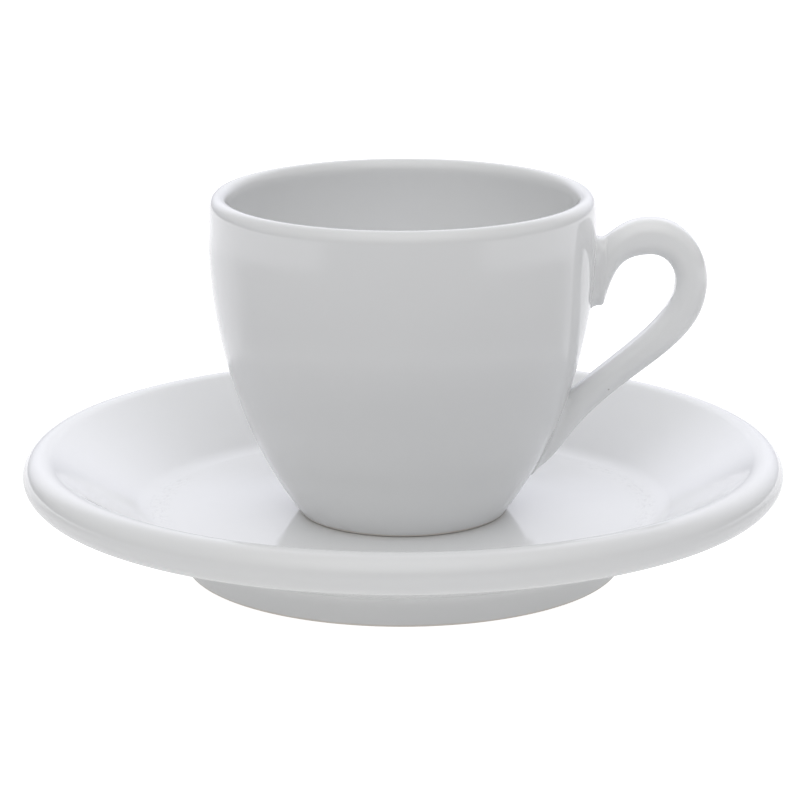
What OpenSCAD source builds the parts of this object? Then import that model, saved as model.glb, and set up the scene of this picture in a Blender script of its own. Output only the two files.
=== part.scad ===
// Espresso cup and saucer in thick white porcelain.
// The saucer is turned as one piece. The cup's bowl is turned by itself, and its
// handle is cast apart and stuck to the wall with slip at an upper and a lower lug.
// Origin: centre of the saucer's foot ring, on the table. +Z is up, and the handle
// points along +X. All lengths are in millimetres and all angles in degrees.

/* [Saucer] */
// Outside diameter of the saucer
saucer_d = 120; // [114:1:140]
// Height of the saucer from the table to the top of its rim
saucer_h = 18.7; // [17:0.1:24]
// Thickness of the rolled bead round the rim
rim_bead_d = 6.2; // [4:0.1:7]
// Diameter of the flat well that the cup stands in
well_d = 77.6; // [66:0.2:82]
// Radius of the hollow curve from the well up to the sloping flange
well_curve_r = 7; // [5:0.5:16]
// Thickness of the saucer's floor under the well
saucer_floor_t = 4.2; // [3:0.1:6]
// Thickness of the flange where it leaves the well
flange_t = 2.6; // [2:0.1:4]
// Outside diameter of the saucer's foot ring near the table
saucer_foot_d = 69.4; // [60:0.2:71]
// Width of the saucer's foot ring
saucer_foot_w = 3.2; // [2.4:0.1:6]
// Height of the hollow inside the saucer's foot ring
saucer_foot_h = 4.4; // [3:0.1:6]

/* [Cup] */
// Outside diameter of the cup at its widest
cup_d = 60.6; // [54:0.2:70]
// Height of the cup from its foot to its lip
cup_h = 51; // [49:0.5:60]
// Height of the widest part above the cup's foot
widest_z = 45.2; // [43:0.2:47]
// Radius of the wall's outside curve from the lip down to the bend
belly_r = 83; // [74:1:110]
// Radius of the wall's outside curve from the bend down to the foot
hip_r = 64; // [58:1:72]
// Slope of the wall at the bend between the two curves
bend_slope = 20; // [16:0.5:23]
// Thickness of the wall, which the lip rounds off
wall_t = 3; // [2.5:0.1:5]
// Thickness of the cup's floor
cup_floor_t = 5.5; // [4:0.1:8]
// Radius between the inside wall and the floor
bowl_r = 10; // [6:0.5:14]
// Width of the cup's foot ring
cup_foot_w = 2.6; // [1.5:0.1:4]
// Depth of the hollow inside the cup's foot ring
cup_foot_h = 1.8; // [1:0.1:2.5]

/* [Handle] */
// How far the handle stands out past the widest part of the cup
handle_reach = 17.3; // [15:0.1:22]
// Drop from the lip of the cup to the top of the handle
handle_drop = 4; // [3:0.1:7]
// Thickness of the strap at the top of the handle
strap_top_t = 5.7; // [4:0.1:7]
// Thickness of the strap at the back of the handle
strap_t = 5; // [3.5:0.1:6]
// Width of the strap from side to side
strap_w = 6; // [5:0.2:10]
// Radius on the long edges of the strap
strap_edge_r = 2.3; // [0.8:0.1:2.4]
// Height of the upper lug on the wall
upper_lug_h = 10.5; // [8:0.1:12]
// Height of the lower lug on the wall
lower_lug_h = 13; // [10:0.2:14.4]
// Height of the lower lug's toe above the cup's foot
lower_lug_z = 5.8; // [4.5:0.1:8]

/* [Hidden] */
porcelain = [0.93, 0.93, 0.92];
$fn = 128;

// Edge radii and draft that the forming tools and the glaze leave.
cup_foot_edge_r = 1;
cup_foot_inner_r = 0.4;
cup_hollow_r = 0.5;
saucer_foot_edge_r = 0.7;
saucer_hollow_r = 1.4;
foot_root_r = 4;
foot_draft = 18;

// Most that the profile turns from one point of an arc to the next: edges, then walls.
edge_turn = 8;
wall_turn = 2.5;

// How far the cup's outline runs past its lip where it cuts the handle.
overrun = 1;

// Points of an arc about c from angle a to angle b, both included.
function arc(c, r, a, b, turn) =
    let (n = max(1, ceil(abs(b - a) / turn)))
    [for (i = [0:n]) c + r * [cos(a + (b - a) * i / n), sin(a + (b - a) * i / n)]];

// A list without its first point, for an arc that goes on from the one before.
function onward(p) = [for (i = [1:len(p) - 1]) p[i]];

// Angle of the line from p to q.
function angle_to(p, q) = atan2(q.y - p.y, q.x - p.x);

// Unit step at angle a.
function step(a) = [cos(a), sin(a)];

// Where the line through p at angle a meets the line through q at angle b.
function meet(p, a, q, b) = p + step(a) * cross(q - p, step(b)) / cross(step(a), step(b));

// The point at height z that lies d from c, on the outer side.
function out_from(c, d, z) = [c.x + sqrt(d * d - (z - c.y) * (z - c.y)), z];

// Saucer profile: the well, its hollow curve, a straight flange and a round bead.
well_z = saucer_foot_h + saucer_floor_t;
well_r = well_d / 2;
bead_r = rim_bead_d / 2;
bead_c = [saucer_d / 2 - bead_r, saucer_h - bead_r];

// On a narrow flange the hollow curve is held to the room between the well and the bead.
most_curve_share = 0.9;
rim_run = bead_c - [well_r, well_z];
curve_room = (rim_run * rim_run - bead_r * bead_r) / (2 * (rim_run.y + bead_r));
curve_r = min(well_curve_r, most_curve_share * curve_room);
curve_c = [well_r, well_z + curve_r];
flange_slope = angle_to(curve_c, bead_c) + asin((curve_r + bead_r) / norm(bead_c - curve_c));

// The flange's underside runs straight from below the well's edge to the bead.
under_p = [well_r, well_z - flange_t];
under_slope = angle_to(under_p, bead_c) - asin(bead_r / norm(bead_c - under_p));

// The foot ring, and the fillet at its root.
foot_out_c = [saucer_foot_d / 2 - saucer_foot_edge_r, saucer_foot_edge_r];
foot_in_r = saucer_foot_d / 2 - saucer_foot_w;
root_c = meet(foot_out_c + (saucer_foot_edge_r + foot_root_r) * step(-foot_draft), 90 - foot_draft,
              under_p + foot_root_r * step(under_slope - 90), under_slope);

saucer_profile = concat(
    [[0, saucer_foot_h]],
    arc([foot_in_r - saucer_hollow_r, saucer_foot_h - saucer_hollow_r], saucer_hollow_r, 90, 0, edge_turn),
    arc([foot_in_r + saucer_foot_edge_r, saucer_foot_edge_r], saucer_foot_edge_r, 180, 270, edge_turn),
    arc(foot_out_c, saucer_foot_edge_r, -90, -foot_draft, edge_turn),
    arc(root_c, foot_root_r, 180 - foot_draft, 90 + under_slope, edge_turn),
    arc(bead_c, bead_r, under_slope - 90, flange_slope + 90, edge_turn),
    arc(curve_c, curve_r, flange_slope - 90, -90, wall_turn),
    [[0, well_z]]);

// Cup profile: two outside curves, the inside parallel to them, and a round lip.
belly_c = [cup_d / 2 - belly_r, widest_z];
hip_c = belly_c + (belly_r - hip_r) * step(-bend_slope);
lip_r = wall_t / 2;
lip_a = asin((cup_h - lip_r - widest_z) / (belly_r - lip_r));
lip_c = belly_c + (belly_r - lip_r) * step(lip_a);
foot_edge_c = out_from(hip_c, hip_r - cup_foot_edge_r, cup_foot_edge_r);
foot_edge_a = angle_to(hip_c, foot_edge_c);
bowl_c = out_from(hip_c, hip_r - wall_t - bowl_r, cup_floor_t + bowl_r);
bowl_a = angle_to(hip_c, bowl_c);
hollow_r = foot_edge_c.x - cup_foot_w;

cup_outside = concat(
    arc(foot_edge_c, cup_foot_edge_r, -90, foot_edge_a, edge_turn),
    onward(arc(hip_c, hip_r, foot_edge_a, -bend_slope, wall_turn)),
    onward(arc(belly_c, belly_r, -bend_slope, lip_a, wall_turn)));

cup_inside = concat(
    onward(arc(belly_c, belly_r - wall_t, lip_a, -bend_slope, wall_turn)),
    onward(arc(hip_c, hip_r - wall_t, -bend_slope, bowl_a, wall_turn)),
    onward(arc(bowl_c, bowl_r, bowl_a, -90, edge_turn)),
    [[0, cup_floor_t]]);

cup_hollow = concat(
    [[0, cup_foot_h]],
    arc([hollow_r - cup_hollow_r, cup_foot_h - cup_hollow_r], cup_hollow_r, 90, 0, edge_turn),
    arc([hollow_r + cup_foot_inner_r, cup_foot_inner_r], cup_foot_inner_r, 180, 270, edge_turn));

cup_lip = onward(arc(lip_c, lip_r, lip_a, lip_a + 180, edge_turn));

// Outside radius of the cup at height z.
bend_z = belly_c.y - belly_r * sin(bend_slope);
function wall_r(z) = z > bend_z ? out_from(belly_c, belly_r, z).x : out_from(hip_c, hip_r, z).x;

// A point that stands d out from the wall at height z.
function by_wall(d, z) = [wall_r(z) + d, z];

// Handle: two rails, the outer and the inner edge of the strap as seen from the side.
// How deep the rails start inside the wall, and how far off it they bend: at the shoulder
// and the heel of the upper lug, and at the toe and the fork of the lower one.
lug_sink = 1.2;
shoulder_off = 1.6;
heel_off = 2;
toe_off = 2.7;
fork_off = 0.9;
// Drop from the top of the handle to its shoulder, and rises from the wall to the bends.
shoulder_drop = 3.4;
shoulder_rise = 0.6;
heel_rise = 0.5;
toe_rise = 5.8;
fork_rise = 1.1;
// How far the leg's inner edge falls on inside the wall.
fork_sink = 1.4;
// Where the top and the back of the handle lie along its reach and its height.
top_share = 0.49;
back_share = 0.76;

handle_top_z = cup_h - handle_drop;
shoulder_z = handle_top_z - shoulder_drop;
heel_z = shoulder_z - upper_lug_h;
fork_z = lower_lug_z + lower_lug_h;
back_x = cup_d / 2 + handle_reach;
back_z = lower_lug_z + back_share * (handle_top_z - lower_lug_z);
top_x = cup_d / 2 + top_share * handle_reach;

// Directions of the rails out of the wall, at the bends, and into the wall again.
shoulder_a = 5;
shoulder_bend_a = 38;
heel_a = 8;
heel_bend_a = 75;
toe_bend_a = -126;
fork_bend_a = -139;
toe_a = -165;
fork_a = -139;

// Pulls on the curves, as shares of the distance between their ends.
lug_shares = [0.55, 0.22];
outer_rise_shares = [0.33, 0.45];
inner_rise_shares = [0.55, 0.43];
round_shares = [0.39, 0.39];
outer_leg_shares = [0.34, 0.44];
inner_leg_shares = [0.25, 0.44];

// Steps along the five curves of each rail, and round each corner of the strap.
rail_steps = [8, 12, 12, 16, 8];
corner_steps = 5;

// Points of a curve that leaves p at angle a and comes to q at angle b.
function curve(p, a, q, b, shares, n) =
    let (d = norm(q - p), p1 = p + d * shares[0] * step(a), q1 = q - d * shares[1] * step(b))
    [for (i = [0:n]) let (t = i / n, s = 1 - t)
        s * s * s * p + 3 * s * s * t * p1 + 3 * s * t * t * q1 + t * t * t * q];

function rail(lug, lug_a, bend, bend_a, top, back, leg, leg_a, end, end_a, rise_shares, leg_shares) = concat(
    curve(lug, lug_a, bend, bend_a, lug_shares, rail_steps[0]),
    onward(curve(bend, bend_a, top, 0, rise_shares, rail_steps[1])),
    onward(curve(top, 0, back, -90, round_shares, rail_steps[2])),
    onward(curve(back, -90, leg, leg_a, leg_shares, rail_steps[3])),
    onward(curve(leg, leg_a, end, end_a, round_shares, rail_steps[4])));

outer_rail = rail(
    by_wall(-lug_sink, shoulder_z), shoulder_a,
    by_wall(shoulder_off, shoulder_z + shoulder_rise), shoulder_bend_a,
    [top_x, handle_top_z], [back_x, back_z],
    by_wall(toe_off, lower_lug_z + toe_rise), toe_bend_a, by_wall(-lug_sink, lower_lug_z), toe_a,
    outer_rise_shares, outer_leg_shares);
inner_rail = rail(
    by_wall(-lug_sink, heel_z), heel_a,
    by_wall(heel_off, heel_z + heel_rise), heel_bend_a,
    [top_x, handle_top_z - strap_top_t], [back_x - strap_t, back_z],
    by_wall(fork_off, fork_z + fork_rise), fork_bend_a, by_wall(-lug_sink, fork_z - fork_sink), fork_a,
    inner_rise_shares, inner_leg_shares);

// Section of the strap between point o of the outer rail and point i of the inner one.
// Where a section lies aslant of the way along the strap, v, its corners are stretched
// so that the edges keep their radius.
most_corner_share = 0.46;
function section(o, i, v) =
    let (span = norm(o - i), u = (o - i) / span, mid = (o + i) / 2,
         slant = max(abs(cross(u, v)) / norm(v), strap_edge_r / span),
         cu = min(strap_edge_r / slant, most_corner_share * span),
         cw = min(strap_edge_r, most_corner_share * strap_w),
         hu = span / 2 - cu, hw = strap_w / 2 - cw)
    [for (k = [0:3]) for (j = [0:corner_steps])
        let (a = 90 * (k + j / corner_steps),
             pu = (k == 0 || k == 3 ? hu : -hu) + cu * cos(a),
             pw = (k < 2 ? hw : -hw) + cw * sin(a))
        [mid.x + pu * u.x, pw, mid.y + pu * u.y]];

rail_last = len(outer_rail) - 1;
function mid_rail(n) = (outer_rail[n] + inner_rail[n]) / 2;
function way(n) = mid_rail(min(n + 1, rail_last)) - mid_rail(max(n - 1, 0));

ring_n = 4 * (corner_steps + 1);
end_ring = rail_last * ring_n;
strap_points = [for (n = [0:rail_last]) each section(outer_rail[n], inner_rail[n], way(n))];
strap_faces = concat(
    [for (j = [1:ring_n - 2]) [0, j + 1, j]],
    [for (n = [0:rail_last - 1]) for (j = [0:ring_n - 1])
        let (a = n * ring_n + j, b = n * ring_n + (j + 1) % ring_n)
        each [[a, b, a + ring_n], [b, b + ring_n, a + ring_n]]],
    [for (j = [1:ring_n - 2]) [end_ring, end_ring + j, end_ring + j + 1]]);

module saucer() {
    color(porcelain)
    rotate_extrude()
    polygon(saucer_profile);
}

module cup_body() {
    color(porcelain)
    translate([0, 0, well_z])
    rotate_extrude()
    polygon(concat(cup_hollow, cup_outside, cup_lip, cup_inside));
}

// The full round of the cup, without its inside, as the handle meets it.
module cup_round() {
    rotate_extrude()
    polygon(concat([[0, 0]], cup_outside, [[lip_c.x, cup_h + overrun], [0, cup_h + overrun]]));
}

module cup_handle() {
    color(porcelain)
    translate([0, 0, well_z])
    difference() {
        polyhedron(strap_points, strap_faces);
        cup_round();
    }
}

saucer();
cup_body();
cup_handle();
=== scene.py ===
"""Espresso cup and saucer in glazed white porcelain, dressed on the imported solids.

The frame's pieces are the saucer, the cup's bowl and its strap handle. Each is made anew
here with the glaze's soft edges, and stands for its solid. All lengths are in metres,
profiles are pairs of radius and height, and angles are in degrees.
"""
import math

import bmesh
import bpy
from mathutils import Matrix, Vector


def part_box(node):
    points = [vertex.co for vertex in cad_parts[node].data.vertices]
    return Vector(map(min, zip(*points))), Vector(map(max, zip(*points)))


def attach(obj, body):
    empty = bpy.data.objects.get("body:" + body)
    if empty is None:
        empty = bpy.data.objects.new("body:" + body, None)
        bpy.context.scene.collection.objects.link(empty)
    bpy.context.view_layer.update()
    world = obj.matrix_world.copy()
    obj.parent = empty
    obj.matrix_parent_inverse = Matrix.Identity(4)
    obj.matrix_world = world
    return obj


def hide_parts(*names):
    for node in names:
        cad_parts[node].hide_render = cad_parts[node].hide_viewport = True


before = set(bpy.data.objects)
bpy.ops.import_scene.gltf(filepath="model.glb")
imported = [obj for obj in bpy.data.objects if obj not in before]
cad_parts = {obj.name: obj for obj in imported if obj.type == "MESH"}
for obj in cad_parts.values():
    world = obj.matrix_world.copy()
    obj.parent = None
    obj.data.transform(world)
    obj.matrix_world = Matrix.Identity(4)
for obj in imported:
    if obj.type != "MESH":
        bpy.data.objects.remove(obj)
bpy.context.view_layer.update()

MM = 0.001

# Sizes that the frame gives
SAUCER_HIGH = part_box("saucer")[1]
CUP_LOW, CUP_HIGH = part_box("cup_body")
HANDLE_LOW, HANDLE_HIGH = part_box("cup_handle")
SAUCER_R = SAUCER_HIGH[0]
SAUCER_H = SAUCER_HIGH[2]
WELL_Z = CUP_LOW[2]
CUP_R = CUP_HIGH[0]
CUP_H = CUP_HIGH[2] - WELL_Z
HANDLE_BACK = HANDLE_HIGH[0]
HANDLE_TOP = HANDLE_HIGH[2] - WELL_Z
STRAP_W = HANDLE_HIGH[1] - HANDLE_LOW[1]

# Saucer
BEAD_R = 3.1 * MM
WELL_R = 38.8 * MM
WELL_CURVE_R = 7 * MM
FLANGE_T = 2.6 * MM
FOOT_R = 34.7 * MM
FOOT_W = 3.2 * MM
FOOT_HOLLOW_H = 4.4 * MM
FOOT_EDGE_R = 0.7 * MM
FOOT_HOLLOW_R = 1.4 * MM
FOOT_ROOT_R = 4 * MM
FOOT_DRAFT = 18

# The glaze pools at the well's edge: where the floor starts to rise, and how steep it gets
POOL_START_R = 28 * MM
POOL_SLOPE = 4

# Cup, with heights from its own foot
WIDEST_Z = 45.2 * MM
BELLY_R = 83 * MM
HIP_R = 64 * MM
BEND_SLOPE = 20
WALL_T = 3 * MM
LIP_ROLL_H = 2.1 * MM
CUP_FLOOR_T = 5.5 * MM
BOWL_R = 10 * MM
CUP_FOOT_W = 2.6 * MM
CUP_FOOT_H = 1.8 * MM
CUP_FOOT_EDGE_R = 1 * MM
CUP_FOOT_INNER_R = 0.4 * MM
CUP_HOLLOW_R = 0.5 * MM

# Handle, with heights from the cup's foot
STRAP_TOP_T = 5.7 * MM
STRAP_T = 5 * MM
STRAP_EDGE_R = 2.3 * MM
UPPER_LUG_H = 10.5 * MM
LOWER_LUG_H = 13 * MM
LOWER_LUG_Z = 5.8 * MM
LUG_SINK = 1.2 * MM
SHOULDER_OFF = 1.6 * MM
HEEL_OFF = 2 * MM
TOE_OFF = 2.7 * MM
FORK_OFF = 0.9 * MM
SHOULDER_DROP = 3.4 * MM
SHOULDER_RISE = 0.6 * MM
HEEL_RISE = 0.5 * MM
TOE_RISE = 5.8 * MM
FORK_RISE = 1.1 * MM
FORK_SINK = 1.4 * MM
TOP_SHARE = 0.49
BACK_SHARE = 0.76
SHOULDER_A = 5
SHOULDER_BEND_A = 38
HEEL_A = 8
HEEL_BEND_A = 75
TOE_BEND_A = -126
FORK_BEND_A = -139
TOE_A = -165
FORK_A = -139
LUG_SHARES = (0.55, 0.22)
OUTER_RISE_SHARES = (0.33, 0.45)
INNER_RISE_SHARES = (0.55, 0.43)
ROUND_SHARES = (0.39, 0.39)
OUTER_LEG_SHARES = (0.34, 0.44)
INNER_LEG_SHARES = (0.25, 0.44)
MOST_CORNER_SHARE = 0.46

# The fillet of slip round the handle's lugs: how far it reaches, and how much it adds
SLIP_REACH = 1.1 * MM
SLIP_RISE = 0.55 * MM

# How finely the pieces are cut
EDGE_TURN = 5
WALL_TURN = 1
LINE_PITCH = 1.2 * MM
SAUCER_CUTS = 256
CUP_CUTS = 224
RAIL_STEPS = (24, 26, 26, 34, 26)
CORNER_STEPS = 10
WELD = 0.001 * MM

# Glaze: ripples as it flowed, a fine peel, and specks that burned out to pits
GLAZE_WHITE = (0.800, 0.803, 0.800, 1.0)
GLAZE_SHADE = (0.775, 0.782, 0.790, 1.0)
# The handle's white is lighter than the cup's. This is painted light: the glow the thin strap takes
# from light shining through it and bouncing off the cup.
HANDLE_PAINTED_GLOW_WHITE = (0.885, 0.888, 0.885, 1.0)
SPECK_GREY = (0.36, 0.34, 0.31, 1.0)
GLAZE_ROUGHNESS = 0.07
ROUGHNESS_DRIFT = 0.05
DRIFT_SIZE = 34 * MM
RIPPLE_SIZE = 7 * MM
RIPPLE_H = 0.020 * MM
PEEL_SIZE = 1.1 * MM
PEEL_H = 0.0008 * MM
SPECK_SPACING = 8 * MM
SPECK_R = 0.24 * MM
SPECK_SHARE = 0.22
SPECK_DEPTH = 0.03 * MM
SPECK_STRENGTH = 0.6
SPECK_LEAST = 0.5
SPECK_SPREAD = 0.6
SPECK_SOFT = (0.5, 1.0)
GLAZE_IOR = 1.5

# Noise: how much fine detail its lumps carry, and the value that it swings about
SMOOTH_DETAIL = 1.0
USUAL_DETAIL = 2.0
FINE_DETAIL = 3.0
NOISE_MIDDLE = 0.5

# Wear in the well: cups dull its floor, and spoons scuff a line round its edge
WORN_ROUGHNESS = 0.02
WORN_WANDER = 1.6 * MM
WORN_WANDER_SIZE = 6 * MM
WORN_FADE = 0.8 * MM
SCUFF_W = 2.6 * MM
SCUFF_PATCH = 16 * MM
SCUFF_PATCHED = (0.38, 0.58)
SCUFF_H = 0.06 * MM
SCUFF_ROUGHNESS = 0.06
SCUFF_GREY = (0.50, 0.50, 0.51, 1.0)
SCUFF_STRENGTH = 0.22
SCUFF_MARKED = (0.5, 0.7)
STREAK_W = 0.5 * MM
STREAK_L = 1.7 * MM

# Bare clay on the foot rings, with a toasted line where the glaze ends
CLAY = (0.78, 0.74, 0.69, 1.0)
TOAST = (0.66, 0.57, 0.49, 1.0)
CLAY_ROUGHNESS = 0.8
BARE_H = 0.35 * MM
BARE_FADE_SHARE = 0.7
TOAST_H = 0.25 * MM
TOAST_STRENGTH = 0.5
GLAZE_EDGE_WANDER = 0.3 * MM
GLAZE_EDGE_SIZE = 5 * MM
CLAY_GRAIN_SIZE = 0.25 * MM
CLAY_GRAIN_H = 0.012 * MM

# Camera, with its roll in radians
PHOTO_SIDE = 800
FOCAL_PIXELS = 3502.8
SENSOR = 36.0
CAMERA_PLACE = Vector((-0.45, -534.7, 166.3)) * MM
CAMERA_PITCH = 14.67
CAMERA_ROLL = -0.0025
CLIP_NEAR = 0.05
CLIP_FAR = 20

# Table: its size and finish
FLOOR_R = 4.0
FLOOR_CUTS = 64
FLOOR_DROP = 0.05 * MM
TABLE_TONE = (0.6, 0.6, 0.6, 1.0)
TABLE_ROUGHNESS = 0.9

# Glow of the table: what the camera sees, and what the pieces catch from each of its zones,
# with the fades between them by distance and by the angle off the front
TABLE_SEEN = (0.85, 0.85, 0.85, 1.0)
TABLE_NEAR = (0.40, 0.40, 0.40, 1.0)
TABLE_SHADED = (0.0, 0.0, 0.0, 1.0)
TABLE_BEHIND = (0.62, 0.62, 0.64, 1.0)
TABLE_FAR = (0.87, 0.87, 0.90, 1.0)
TABLE_NEAR_FADE = (90 * MM, 110 * MM)
TABLE_FAR_FADE = (230 * MM, 270 * MM)
FRONT = (0, -1, 0)
FRONT_FADE = (math.radians(38), math.radians(52))
BACK_FADE = (math.radians(95), math.radians(120))

# Panels of light: azimuth, elevation, inner and outer angle of the fade, tint and strength
COOL = (0.97, 0.98, 1.09)
PLAIN = (1.0, 1.0, 1.0)
PANELS = {
    "open room overhead": (0, 90, 55, 95, PLAIN, 0.575),
    "white wall behind": (90, 30, 15, 60, COOL, 0.70),
    "scrim behind on the right": (60, 20, 8, 40, COOL, 0.60),
    "scrim behind on the left": (112, 20, 6, 26, COOL, 0.60),
    "softbox over the camera": (270, 58, 10, 50, PLAIN, 1.06),
    "card in front on the left": (235, 25, 8, 40, PLAIN, 0.16),
}


class Wire:
    """A node's output. Operators on it add Math nodes, and brackets pick another output."""

    def __init__(self, tree, socket):
        self.tree = tree
        self.socket = socket

    def __getitem__(self, name):
        return Wire(self.tree, find_socket(self.socket.node.outputs, name))

    def maths(self, operation, first, second):
        """A Math node on two values or wires."""
        return self.tree.node("ShaderNodeMath", {"operation": operation}, {0: first, 1: second})

    def __add__(self, other):
        return self.maths("ADD", self, other)

    def __radd__(self, other):
        return self.maths("ADD", other, self)

    def __sub__(self, other):
        return self.maths("SUBTRACT", self, other)

    def __rsub__(self, other):
        return self.maths("SUBTRACT", other, self)

    def __mul__(self, other):
        return self.maths("MULTIPLY", self, other)

    def __rmul__(self, other):
        return self.maths("MULTIPLY", other, self)

    def __truediv__(self, other):
        return self.maths("DIVIDE", self, other)

    def __rtruediv__(self, other):
        return self.maths("DIVIDE", other, self)

    def __floordiv__(self, other):
        return (self / other).apply("FLOOR")

    def __mod__(self, other):
        return self.maths("MODULO", self, other)

    def __pow__(self, other):
        return self.maths("POWER", self, other)

    def __gt__(self, other):
        return self.maths("GREATER_THAN", self, other)

    def __lt__(self, other):
        return self.maths("LESS_THAN", self, other)

    def apply(self, operation, second=0.0):
        """A Math node on this wire."""
        return self.maths(operation, self, second)


def find_socket(sockets, key):
    """A socket by its index, or by its name among those in use."""
    if isinstance(key, int):
        return sockets[key]
    return next(socket for socket in sockets if socket.name == key and socket.enabled)


class Tree:
    """A node tree that is being wired."""

    def __init__(self, node_tree):
        self.node_tree = node_tree
        node_tree.nodes.clear()

    def node(self, kind, settings=None, sockets=None):
        """Add a node: its settings first, then the values or wires of its sockets."""
        made = self.node_tree.nodes.new(kind)
        for name, value in (settings or {}).items():
            setattr(made, name, value)
        for key, value in (sockets or {}).items():
            socket = find_socket(made.inputs, key)
            if isinstance(value, Wire):
                self.node_tree.links.new(value.socket, socket)
            else:
                socket.default_value = value
        outputs = [socket for socket in made.outputs if socket.enabled]
        return Wire(self, outputs[0]) if outputs else None

    def ramp(self, value, low, high):
        """Smooth step from 0 at low to 1 at high."""
        return self.node("ShaderNodeMapRange", {"interpolation_type": "SMOOTHSTEP"},
                         {"Value": value, "From Min": low, "From Max": high})["Result"]

    def blend(self, share, first, second):
        """A colour between two others."""
        return self.node("ShaderNodeMix", {"data_type": "RGBA"},
                         {"Factor": share, "A": first, "B": second})["Result"]

    def noise(self, place, size, detail=USUAL_DETAIL):
        """Cloudy values from 0 to 1, with lumps of a given size."""
        return self.node("ShaderNodeTexNoise", {"noise_dimensions": "3D"},
                         {"Vector": place, "Scale": 1 / size, "Detail": detail})["Fac"]


# Outlines

def heading(angle):
    """Unit step at an angle."""
    return Vector((math.cos(math.radians(angle)), math.sin(math.radians(angle))))


def angle_to(start, end):
    """Angle of the line from one point to another."""
    return math.degrees(math.atan2(end.y - start.y, end.x - start.x))


def arc(centre, radius, start, end, turn):
    """Points of an arc between two angles, both included."""
    steps = max(1, math.ceil(abs(end - start) / turn))
    return [centre + radius * heading(start + (end - start) * n / steps) for n in range(steps + 1)]


def roll(centre, half_width, height, slope, turn):
    """Points of half an oval that rounds off a wall, from its outside to its inside."""
    steps = math.ceil(180 / turn)
    across = half_width * heading(slope)
    along = height * heading(slope + 90)
    turns = [heading(180 * n / steps) for n in range(steps + 1)]
    return [centre + across * way.x + along * way.y for way in turns]


def out_from(centre, distance, z):
    """The point at height z that lies a distance out from a centre."""
    return Vector((centre.x + math.sqrt(distance ** 2 - (z - centre.y) ** 2), z))


def meet(first, first_angle, second, second_angle):
    """Where two lines meet, each given by a point and an angle."""
    way = heading(first_angle)
    other = heading(second_angle)
    gap = second - first
    along = (gap.x * other.y - gap.y * other.x) / (way.x * other.y - way.y * other.x)
    return first + way * along


def joined(*stretches):
    """One outline from several stretches, with the straight lines between them cut finely."""
    outline = [stretches[0][0]]
    for point in [point for stretch in stretches for point in stretch]:
        gap = point - outline[-1]
        steps = math.ceil(gap.length / LINE_PITCH)
        start = outline[-1]
        outline += [start + gap * n / steps for n in range(1, steps + 1) if gap.length > WELD]
    return outline


def saucer_outline():
    """The saucer's section: foot ring, underside, rolled bead, flange and well."""
    bead = Vector((SAUCER_R - BEAD_R, SAUCER_H - BEAD_R))
    pool_r = WELL_CURVE_R + (WELL_R - POOL_START_R) / math.sin(math.radians(POOL_SLOPE))
    pool = Vector((POOL_START_R, WELL_Z + pool_r))
    curve = pool + (pool_r - WELL_CURVE_R) * heading(POOL_SLOPE - 90)
    flange_slope = angle_to(curve, bead)
    flange_slope += math.degrees(math.asin((WELL_CURVE_R + BEAD_R) / (bead - curve).length))
    under = Vector((WELL_R, WELL_Z - FLANGE_T))
    under_slope = angle_to(under, bead) - math.degrees(math.asin(BEAD_R / (bead - under).length))
    foot_edge = Vector((FOOT_R - FOOT_EDGE_R, FOOT_EDGE_R))
    foot_inside = FOOT_R - FOOT_W
    hollow_corner = Vector((foot_inside - FOOT_HOLLOW_R, FOOT_HOLLOW_H - FOOT_HOLLOW_R))
    inner_edge = Vector((foot_inside + FOOT_EDGE_R, FOOT_EDGE_R))
    root = meet(foot_edge + (FOOT_EDGE_R + FOOT_ROOT_R) * heading(-FOOT_DRAFT), 90 - FOOT_DRAFT,
                under + FOOT_ROOT_R * heading(under_slope - 90), under_slope)
    return joined(
        [Vector((0, FOOT_HOLLOW_H))],
        arc(hollow_corner, FOOT_HOLLOW_R, 90, 0, EDGE_TURN),
        arc(inner_edge, FOOT_EDGE_R, 180, 270, EDGE_TURN),
        arc(foot_edge, FOOT_EDGE_R, -90, -FOOT_DRAFT, EDGE_TURN),
        arc(root, FOOT_ROOT_R, 180 - FOOT_DRAFT, 90 + under_slope, EDGE_TURN),
        arc(bead, BEAD_R, under_slope - 90, flange_slope + 90, EDGE_TURN),
        arc(curve, WELL_CURVE_R, flange_slope - 90, POOL_SLOPE - 90, WALL_TURN),
        arc(pool, pool_r, POOL_SLOPE - 90, -90, WALL_TURN),
        [Vector((0, WELL_Z))])


# Centres of the cup's two outside curves, with heights from its foot
BELLY = Vector((CUP_R - BELLY_R, WIDEST_Z))
HIP = BELLY + (BELLY_R - HIP_R) * heading(-BEND_SLOPE)
BEND_Z = BELLY.y - BELLY_R * math.sin(math.radians(BEND_SLOPE))


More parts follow.
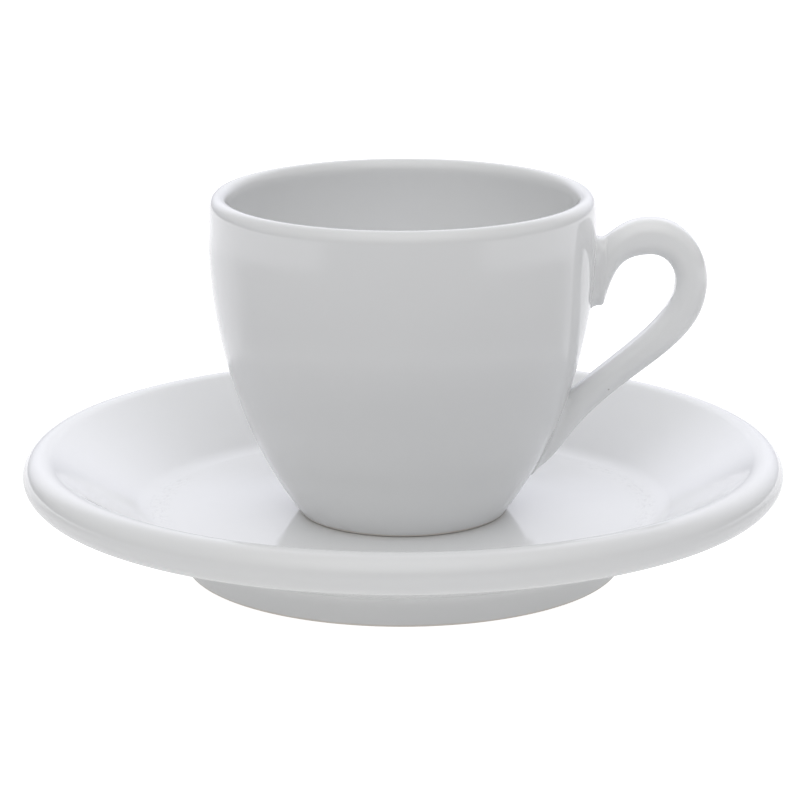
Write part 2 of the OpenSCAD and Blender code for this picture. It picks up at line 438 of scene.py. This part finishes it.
def cup_outline():
    """The cup's section: hollow foot, outside wall, round lip and inside."""
    lip_r = WALL_T / 2
    lip_slope = math.degrees(math.asin((CUP_H - LIP_ROLL_H - WIDEST_Z) / (BELLY_R - lip_r)))
    lip = BELLY + (BELLY_R - lip_r) * heading(lip_slope)
    foot_edge = out_from(HIP, HIP_R - CUP_FOOT_EDGE_R, CUP_FOOT_EDGE_R)
    foot_slope = angle_to(HIP, foot_edge)
    bowl = out_from(HIP, HIP_R - WALL_T - BOWL_R, CUP_FLOOR_T + BOWL_R)
    bowl_slope = angle_to(HIP, bowl)
    hollow = foot_edge.x - CUP_FOOT_W
    hollow_corner = Vector((hollow - CUP_HOLLOW_R, CUP_FOOT_H - CUP_HOLLOW_R))
    inner_edge = Vector((hollow + CUP_FOOT_INNER_R, CUP_FOOT_INNER_R))
    outline = joined(
        [Vector((0, CUP_FOOT_H))],
        arc(hollow_corner, CUP_HOLLOW_R, 90, 0, EDGE_TURN),
        arc(inner_edge, CUP_FOOT_INNER_R, 180, 270, EDGE_TURN),
        arc(foot_edge, CUP_FOOT_EDGE_R, -90, foot_slope, EDGE_TURN),
        arc(HIP, HIP_R, foot_slope, -BEND_SLOPE, WALL_TURN),
        arc(BELLY, BELLY_R, -BEND_SLOPE, lip_slope, WALL_TURN),
        roll(lip, lip_r, LIP_ROLL_H, lip_slope, EDGE_TURN),
        arc(BELLY, BELLY_R - WALL_T, lip_slope, -BEND_SLOPE, WALL_TURN),
        arc(HIP, HIP_R - WALL_T, -BEND_SLOPE, bowl_slope, WALL_TURN),
        arc(bowl, BOWL_R, bowl_slope, -90, EDGE_TURN),
        [Vector((0, CUP_FLOOR_T))])
    return [Vector((point.x, point.y + WELL_Z)) for point in outline]


def by_wall(off, z):
    """A point that stands off the cup's outside wall at height z."""
    wall = out_from(BELLY, BELLY_R, z) if z > BEND_Z else out_from(HIP, HIP_R, z)
    return Vector((wall.x + off, z))


def pulled_curve(start, start_angle, end, end_angle, shares, steps):
    """Points of a cubic curve whose pulls are shares of the distance between its ends."""
    reach = (end - start).length
    first = start + reach * shares[0] * heading(start_angle)
    second = end - reach * shares[1] * heading(end_angle)
    points = []
    for n in range(steps + 1):
        t = n / steps
        s = 1 - t
        points.append(s ** 3 * start + 3 * s * s * t * first + 3 * s * t * t * second + t ** 3 * end)
    return points


def rail(stations, rise_shares, leg_shares):
    """One edge of the handle as seen from the side, through points with their directions."""
    points = [stations[0][0]]
    pulls = (LUG_SHARES, rise_shares, ROUND_SHARES, leg_shares, ROUND_SHARES)
    for start, end, shares, steps in zip(stations, stations[1:], pulls, RAIL_STEPS):
        points += pulled_curve(*start, *end, shares, steps)[1:]
    return points


def handle_rails():
    """The outer and the inner edge of the strap."""
    shoulder_z = HANDLE_TOP - SHOULDER_DROP
    heel_z = shoulder_z - UPPER_LUG_H
    fork_z = LOWER_LUG_Z + LOWER_LUG_H
    top_x = CUP_R + TOP_SHARE * (HANDLE_BACK - CUP_R)
    back_z = LOWER_LUG_Z + BACK_SHARE * (HANDLE_TOP - LOWER_LUG_Z)
    outer = rail([(by_wall(-LUG_SINK, shoulder_z), SHOULDER_A),
                  (by_wall(SHOULDER_OFF, shoulder_z + SHOULDER_RISE), SHOULDER_BEND_A),
                  (Vector((top_x, HANDLE_TOP)), 0),
                  (Vector((HANDLE_BACK, back_z)), -90),
                  (by_wall(TOE_OFF, LOWER_LUG_Z + TOE_RISE), TOE_BEND_A),
                  (by_wall(-LUG_SINK, LOWER_LUG_Z), TOE_A)],
                 OUTER_RISE_SHARES, OUTER_LEG_SHARES)
    inner = rail([(by_wall(-LUG_SINK, heel_z), HEEL_A),
                  (by_wall(HEEL_OFF, heel_z + HEEL_RISE), HEEL_BEND_A),
                  (Vector((top_x, HANDLE_TOP - STRAP_TOP_T)), 0),
                  (Vector((HANDLE_BACK - STRAP_T, back_z)), -90),
                  (by_wall(FORK_OFF, fork_z + FORK_RISE), FORK_BEND_A),
                  (by_wall(-LUG_SINK, fork_z - FORK_SINK), FORK_A)],
                 INNER_RISE_SHARES, INNER_LEG_SHARES)
    return outer, inner


# Node trees that make the shapes

def shape_tree(name, sizes):
    """A new Geometry Nodes tree, its input wires by name, and its inputs' identifiers."""
    group = bpy.data.node_groups.new(name, "GeometryNodeTree")
    tree = Tree(group)
    names = {"Path": "NodeSocketGeometry", **sizes, "Glaze": "NodeSocketMaterial"}
    sockets = {title: group.interface.new_socket(title, in_out="INPUT", socket_type=kind)
               for title, kind in names.items()}
    group.interface.new_socket("Piece", in_out="OUTPUT", socket_type="NodeSocketGeometry")
    entry = tree.node("NodeGroupInput")
    wires = {title: entry[title] for title in names}
    return tree, wires, {title: socket.identifier for title, socket in sockets.items()}


def flat_sheet(tree, rows, columns):
    """A flat sheet with a row for each path point, and the row and column of its points."""
    spans = rows - 1
    sheet = tree.node("GeometryNodeMeshGrid", {}, {
        "Size X": spans, "Size Y": columns, "Vertices X": rows, "Vertices Y": columns + 1})
    place = tree.node("ShaderNodeSeparateXYZ", {}, {"Vector": tree.node("GeometryNodeInputPosition")})
    row = (place["X"] + spans / 2).apply("ROUND")
    column = (place["Y"] + columns / 2).apply("ROUND")
    return sheet["Mesh"], row, column


def from_path(tree, path, kind, value, row):
    """The value of a field at the path's point for each row."""
    return tree.node("GeometryNodeSampleIndex", {"data_type": kind, "domain": "POINT"},
                     {"Geometry": path, "Value": value, "Index": row})


def finish_tree(tree, mesh, glaze):
    """Close the seams, smooth the faces and hand the piece out in its glaze."""
    closed = tree.node("GeometryNodeMergeByDistance", {}, {"Geometry": mesh, "Distance": WELD})
    smooth = tree.node("GeometryNodeSetShadeSmooth", {}, {"Geometry": closed, "Shade Smooth": True})
    real = tree.node("GeometryNodeRealizeInstances", {}, {"Geometry": smooth})
    dressed = tree.node("GeometryNodeSetMaterial", {}, {"Geometry": real, "Material": glaze})
    tree.node("NodeGroupOutput", {}, {"Piece": dressed})


def lathe_tree():
    """Turns an outline round the vertical axis, as a jigger forms a cup or a saucer."""
    tree, wires, keys = shape_tree("jigger", {"Cuts": "NodeSocketInt"})
    path = wires["Path"]
    rows = tree.node("GeometryNodeAttributeDomainSize", {"component": "MESH"}, {"Geometry": path})
    sheet, row, column = flat_sheet(tree, rows["Point Count"], wires["Cuts"])
    point = from_path(tree, path, "FLOAT_VECTOR", tree.node("GeometryNodeInputPosition"), row)
    outline = tree.node("ShaderNodeSeparateXYZ", {}, {"Vector": point})
    turn = column / wires["Cuts"] * -math.tau
    spot = tree.node("ShaderNodeCombineXYZ", {}, {
        "X": outline["X"] * turn.apply("COSINE"),
        "Y": outline["X"] * turn.apply("SINE"),
        "Z": outline["Z"]})
    turned = tree.node("GeometryNodeSetPosition", {}, {"Geometry": sheet, "Position": spot})
    finish_tree(tree, turned, wires["Glaze"])
    return tree.node_tree, keys


def wall_distance(tree):
    """How far a point of the handle lies off the cup's outside wall."""
    place = tree.node("ShaderNodeSeparateXYZ", {}, {"Vector": tree.node("GeometryNodeInputPosition")})
    radius = (place["X"] ** 2 + place["Y"] ** 2).apply("SQRT")
    height = place["Z"] - WELL_Z

    def off_curve(centre, curve_r):
        across = radius - centre.x
        up = height - centre.y
        return (across ** 2 + up ** 2).apply("SQRT") - curve_r

    upper = height > BEND_Z
    return off_curve(BELLY, BELLY_R) * upper + off_curve(HIP, HIP_R) * (1 - upper)


def strap_tree():
    """Sweeps a round-edged strap along the handle, and flares it with slip at the wall."""
    tree, wires, keys = shape_tree("strap", {"Corner Steps": "NodeSocketInt",
                                             "Slip Reach": "NodeSocketFloat",
                                             "Slip Rise": "NodeSocketFloat"})
    path = wires["Path"]
    corner = wires["Corner Steps"]
    rows = tree.node("GeometryNodeAttributeDomainSize", {"component": "MESH"}, {"Geometry": path})
    sheet, row, column = flat_sheet(tree, rows["Point Count"], (corner + 1) * 4)

    def along(name, kind):
        value = tree.node("GeometryNodeInputNamedAttribute", {"data_type": kind}, {"Name": name})
        return from_path(tree, path, kind, value["Attribute"], row)

    # Each section has four round corners, with a flat between one corner and the next
    middle = from_path(tree, path, "FLOAT_VECTOR", tree.node("GeometryNodeInputPosition"), row)
    quarter = (column // (corner + 1)) % 4
    angle = (quarter + column % (corner + 1) / corner) * (math.pi / 2)
    diagonal = (quarter + 0.5) * (math.pi / 2)
    out = (along("flat_out", "FLOAT") * diagonal.apply("COSINE").apply("SIGN")
           + along("corner_out", "FLOAT") * angle.apply("COSINE"))
    side = (along("flat_side", "FLOAT") * diagonal.apply("SINE").apply("SIGN")
            + along("corner_side", "FLOAT") * angle.apply("SINE"))
    outward = tree.node("ShaderNodeVectorMath", {"operation": "SCALE"},
                        {"Vector": along("outward", "FLOAT_VECTOR"), "Scale": out})
    sideways = tree.node("ShaderNodeCombineXYZ", {}, {"Y": side})
    offset = tree.node("ShaderNodeVectorMath", {"operation": "ADD"}, {0: outward, 1: sideways})
    spot = tree.node("ShaderNodeVectorMath", {"operation": "ADD"}, {0: middle, 1: offset})
    swept = tree.node("GeometryNodeSetPosition", {}, {"Geometry": sheet, "Position": spot})
    closed = tree.node("GeometryNodeMergeByDistance", {}, {"Geometry": swept, "Distance": WELD})

    near = 1 - tree.node("ShaderNodeClamp", {}, {"Value": wall_distance(tree) / wires["Slip Reach"]})
    flare = tree.node("ShaderNodeVectorMath", {"operation": "SCALE"}, {
        "Vector": tree.node("GeometryNodeInputNormal"), "Scale": near ** 2 * wires["Slip Rise"]})
    flared = tree.node("GeometryNodeSetPosition", {}, {"Geometry": closed, "Offset": flare})
    finish_tree(tree, flared, wires["Glaze"])
    return tree.node_tree, keys


# Pieces

def path_object(name, points):
    """A line of points in space that a node tree builds on."""
    mesh = bpy.data.meshes.new(name)
    mesh.from_pydata(points, [(n, n + 1) for n in range(len(points) - 1)], [])
    piece = bpy.data.objects.new(name, mesh)
    bpy.context.scene.collection.objects.link(piece)
    return piece


def form(piece, shape, sizes):
    """Run a node tree on a piece, and keep the result as a plain mesh."""
    group, keys = shape
    modifier = piece.modifiers.new(group.name, "NODES")
    modifier.node_group = group
    for title, value in sizes.items():
        modifier[keys[title]] = value
    graph = bpy.context.evaluated_depsgraph_get()
    mesh = bpy.data.meshes.new_from_object(piece.evaluated_get(graph), depsgraph=graph)
    piece.modifiers.clear()
    piece.data = mesh


def place_piece(piece, node, body):
    """Let a piece stand for its solid and ride on its body."""
    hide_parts(node)
    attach(piece, body)


def make_saucer(jigger):
    """The saucer, with the marks of use in its well."""
    points = [(point.x, 0, point.y) for point in saucer_outline()]
    piece = path_object("glazed_saucer", points)
    form(piece, jigger, {"Cuts": SAUCER_CUTS, "Glaze": porcelain("saucer_glaze", 0.0, in_use=True)})
    place_piece(piece, "saucer", "saucer")


def make_cup(jigger):
    """The cup's bowl, which stands in the well."""
    points = [(point.x, 0, point.y) for point in cup_outline()]
    piece = path_object("glazed_cup", points)
    form(piece, jigger, {"Cuts": CUP_CUTS, "Glaze": porcelain("cup_glaze", WELL_Z)})
    place_piece(piece, "cup_body", "cup")


def strap_sections():
    """For each station of the strap: its middle, its way outward, and its flats and corners."""
    outer, inner = handle_rails()
    middles = [(o + i) / 2 for o, i in zip(outer, inner)]
    sections = []
    for n, (o, i) in enumerate(zip(outer, inner)):
        span = (o - i).length
        outward = (o - i) / span
        way = middles[min(n + 1, len(outer) - 1)] - middles[max(n - 1, 0)]
        slant = abs(outward.x * way.y - outward.y * way.x) / way.length
        slant = max(slant, STRAP_EDGE_R / span)
        corner_out = min(STRAP_EDGE_R / slant, MOST_CORNER_SHARE * span)
        corner_side = min(STRAP_EDGE_R, MOST_CORNER_SHARE * STRAP_W)
        sections.append({
            "middle": middles[n], "outward": (outward.x, 0, outward.y),
            "flat_out": span / 2 - corner_out, "corner_out": corner_out,
            "flat_side": STRAP_W / 2 - corner_side, "corner_side": corner_side})
    shut = {"flat_out": 0, "corner_out": 0, "flat_side": 0, "corner_side": 0}
    return [{**sections[0], **shut}, *sections, {**sections[-1], **shut}]


def make_handle(strap):
    """The strap handle, which rides with the bowl."""
    sections = strap_sections()
    points = [(section["middle"].x, 0, section["middle"].y + WELL_Z) for section in sections]
    piece = path_object("glazed_handle", points)
    for name in ("flat_out", "corner_out", "flat_side", "corner_side"):
        values = piece.data.attributes.new(name, "FLOAT", "POINT").data
        values.foreach_set("value", [section[name] for section in sections])
    ways = piece.data.attributes.new("outward", "FLOAT_VECTOR", "POINT").data
    ways.foreach_set("vector", [part for section in sections for part in section["outward"]])
    # The handle's glaze takes the lighter white, painted light for the glow through and onto the strap.
    form(piece, strap, {"Corner Steps": CORNER_STEPS, "Slip Reach": SLIP_REACH,
                        "Slip Rise": SLIP_RISE, "Glaze": porcelain("handle_glaze", None, HANDLE_PAINTED_GLOW_WHITE)})
    place_piece(piece, "cup_handle", "cup")


# Finishes

def specks(tree, place):
    """Rare specks, each in its own cell, as a mask with soft edges."""
    cells = tree.node("ShaderNodeTexVoronoi", {"voronoi_dimensions": "3D", "feature": "F1"},
                      {"Vector": place, "Scale": 1 / SPECK_SPACING})
    chance = tree.node("ShaderNodeSeparateColor", {}, {"Color": cells["Color"]})
    kept = chance["Red"] < SPECK_SHARE
    size = (chance["Green"] * SPECK_SPREAD + SPECK_LEAST) * (SPECK_R / SPECK_SPACING)
    return (1 - tree.ramp(cells["Distance"] / size, *SPECK_SOFT)) * kept


def wear(tree, place):
    """How worn the saucer is, how scuffed, and how high the scuffs' streaks stand."""
    spot = tree.node("ShaderNodeSeparateXYZ", {}, {"Vector": place})
    radius = (spot["X"] ** 2 + spot["Y"] ** 2).apply("SQRT")
    upper = spot["Z"] > WELL_Z - FLANGE_T / 2
    wander = (tree.noise(place, WORN_WANDER_SIZE, FINE_DETAIL) - NOISE_MIDDLE) * WORN_WANDER
    past_edge = radius - WELL_R + wander
    worn = (1 - tree.ramp(past_edge, -WORN_FADE, WORN_FADE)) * upper
    patches = tree.ramp(tree.noise(place, SCUFF_PATCH), *SCUFF_PATCHED)
    scuffed = (1 - tree.ramp(past_edge.apply("ABSOLUTE"), 0.0, SCUFF_W)) * patches * upper
    round_it = spot["X"].maths("ARCTAN2", spot["X"], spot["Y"] * -1)
    lane = tree.node("ShaderNodeCombineXYZ", {}, {
        "X": radius / STREAK_W, "Y": round_it * (WELL_R / STREAK_L)})
    streaks = tree.noise(lane, 1.0, FINE_DETAIL)
    return worn, scuffed, streaks


def porcelain(name, foot_z, white=GLAZE_WHITE, in_use=False):
    """Glazed white porcelain, with bare clay on a foot ring that stands at foot_z."""
    material = bpy.data.materials.new(name)
    material.use_nodes = True
    tree = Tree(material.node_tree)
    place = tree.node("ShaderNodeTexCoord")["Object"]
    drift = tree.noise(place, DRIFT_SIZE)
    speck = specks(tree, place)
    ripple = tree.noise(place, RIPPLE_SIZE, SMOOTH_DETAIL)
    peel = tree.noise(place, PEEL_SIZE, SMOOTH_DETAIL)

    colour = tree.blend(drift, white, GLAZE_SHADE)
    colour = tree.blend(speck * SPECK_STRENGTH, colour, SPECK_GREY)
    roughness = drift * ROUGHNESS_DRIFT + GLAZE_ROUGHNESS
    height = ripple * RIPPLE_H + peel * PEEL_H - speck * SPECK_DEPTH

    if in_use:
        worn, scuffed, streaks = wear(tree, place)
        roughness = roughness + worn * WORN_ROUGHNESS + scuffed * SCUFF_ROUGHNESS
        height = height + scuffed * streaks * SCUFF_H
        marks = scuffed * tree.ramp(streaks, *SCUFF_MARKED) * SCUFF_STRENGTH
        colour = tree.blend(marks, colour, SCUFF_GREY)

    if foot_z is not None:
        height_up = tree.node("ShaderNodeSeparateXYZ", {}, {"Vector": place})["Z"] - foot_z
        wander = (tree.noise(place, GLAZE_EDGE_SIZE) - NOISE_MIDDLE) * GLAZE_EDGE_WANDER
        glaze_edge = height_up + wander
        bare = 1 - tree.ramp(glaze_edge, BARE_FADE_SHARE * BARE_H, BARE_H)
        toast = (1 - tree.ramp(glaze_edge, BARE_H, BARE_H + TOAST_H)) * TOAST_STRENGTH
        grain = tree.noise(place, CLAY_GRAIN_SIZE, FINE_DETAIL)
        colour = tree.blend(toast, colour, TOAST)
        colour = tree.blend(bare, colour, CLAY)
        roughness = roughness * (1 - bare) + bare * CLAY_ROUGHNESS
        height = height * (1 - bare) + bare * grain * CLAY_GRAIN_H

    normal = tree.node("ShaderNodeBump", {}, {"Strength": 1.0, "Distance": 1.0, "Height": height})
    shader = tree.node("ShaderNodeBsdfPrincipled", {}, {
        "Base Color": colour, "Roughness": roughness, "Normal": normal, "IOR": GLAZE_IOR})
    tree.node("ShaderNodeOutputMaterial", {}, {"Surface": shader})
    return material


# Stage

def make_floor():
    """A table that the camera sees as plain white, while the pieces catch light by its zones."""
    mesh = bpy.data.meshes.new("table")
    shape = bmesh.new()
    bmesh.ops.create_circle(shape, cap_ends=True, radius=FLOOR_R, segments=FLOOR_CUTS)
    bmesh.ops.translate(shape, verts=shape.verts, vec=(0, 0, -FLOOR_DROP))
    shape.to_mesh(mesh)
    shape.free()
    table = bpy.data.objects.new("table", mesh)
    bpy.context.scene.collection.objects.link(table)
    material = bpy.data.materials.new("white_table")
    material.use_nodes = True
    tree = Tree(material.node_tree)
    place = tree.node("ShaderNodeTexCoord")["Object"]
    radius = tree.node("ShaderNodeVectorMath", {"operation": "LENGTH"}, {0: place})["Value"]
    level = tree.node("ShaderNodeVectorMath", {"operation": "NORMALIZE"}, {0: place})
    facing = tree.node("ShaderNodeVectorMath", {"operation": "DOT_PRODUCT"},
                       {0: level, 1: FRONT})["Value"]
    off_front = facing.apply("ARCCOSINE")
    lit_far = tree.ramp(radius, *TABLE_FAR_FADE) * tree.ramp(off_front, *FRONT_FADE)
    beside = tree.blend(tree.ramp(off_front, *BACK_FADE), TABLE_SHADED, TABLE_BEHIND)
    bounce = tree.blend(tree.ramp(radius, *TABLE_NEAR_FADE), TABLE_NEAR, beside)
    bounce = tree.blend(lit_far, bounce, TABLE_FAR)
    lit, seen = [tree.node("ShaderNodeBsdfPrincipled", {}, {
        "Base Color": TABLE_TONE, "Roughness": TABLE_ROUGHNESS, "Specular IOR Level": 0.0,
        "Emission Color": glow, "Emission Strength": 1.0})
        for glow in (bounce, TABLE_SEEN)]
    shader = tree.node("ShaderNodeMixShader", {}, {
        "Fac": tree.node("ShaderNodeLightPath")["Is Camera Ray"], 1: lit, 2: seen})
    tree.node("ShaderNodeOutputMaterial", {}, {"Surface": shader})
    mesh.materials.append(material)


def make_room():
    """A dim room with soft panels of light in it."""
    world = bpy.data.worlds.new("studio")
    world.use_nodes = True
    bpy.context.scene.world = world
    tree = Tree(world.node_tree)
    way = tree.node("ShaderNodeTexCoord")["Generated"]
    glow = (0.0, 0.0, 0.0)
    for azimuth, elevation, inner, outer, tint, power in PANELS.values():
        level = heading(elevation)
        towards = heading(azimuth) * level.x
        facing = tree.node("ShaderNodeVectorMath", {"operation": "DOT_PRODUCT"},
                           {0: way, 1: (towards.x, towards.y, level.y)})["Value"]
        off = facing.apply("ARCCOSINE")
        share = 1 - tree.ramp(off, math.radians(inner), math.radians(outer))
        panel = tree.node("ShaderNodeVectorMath", {"operation": "SCALE"},
                          {"Vector": tint, "Scale": share * power})
        glow = tree.node("ShaderNodeVectorMath", {"operation": "ADD"}, {0: glow, 1: panel})
    light = tree.node("ShaderNodeBackground", {}, {"Color": glow, "Strength": 1.0})
    tree.node("ShaderNodeOutputWorld", {}, {"Surface": light})


def make_camera():
    """The camera of the photograph, a long lens looking a little down on the cup."""
    data = bpy.data.cameras.new("camera")
    data.sensor_width = SENSOR
    data.lens = FOCAL_PIXELS * SENSOR / PHOTO_SIDE
    data.clip_start = CLIP_NEAR
    data.clip_end = CLIP_FAR
    camera = bpy.data.objects.new("camera", data)
    pitch = Matrix.Rotation(math.radians(90 - CAMERA_PITCH), 4, "X")
    tilt = Matrix.Rotation(CAMERA_ROLL, 4, "Z")
    camera.matrix_world = Matrix.Translation(CAMERA_PLACE) @ pitch @ tilt
    bpy.context.scene.collection.objects.link(camera)
    bpy.context.scene.camera = camera


make_camera()
jigger = lathe_tree()
make_saucer(jigger)
make_cup(jigger)
make_handle(strap_tree())
make_floor()
make_room()
bpy.context.scene.view_settings.view_transform = "Standard"
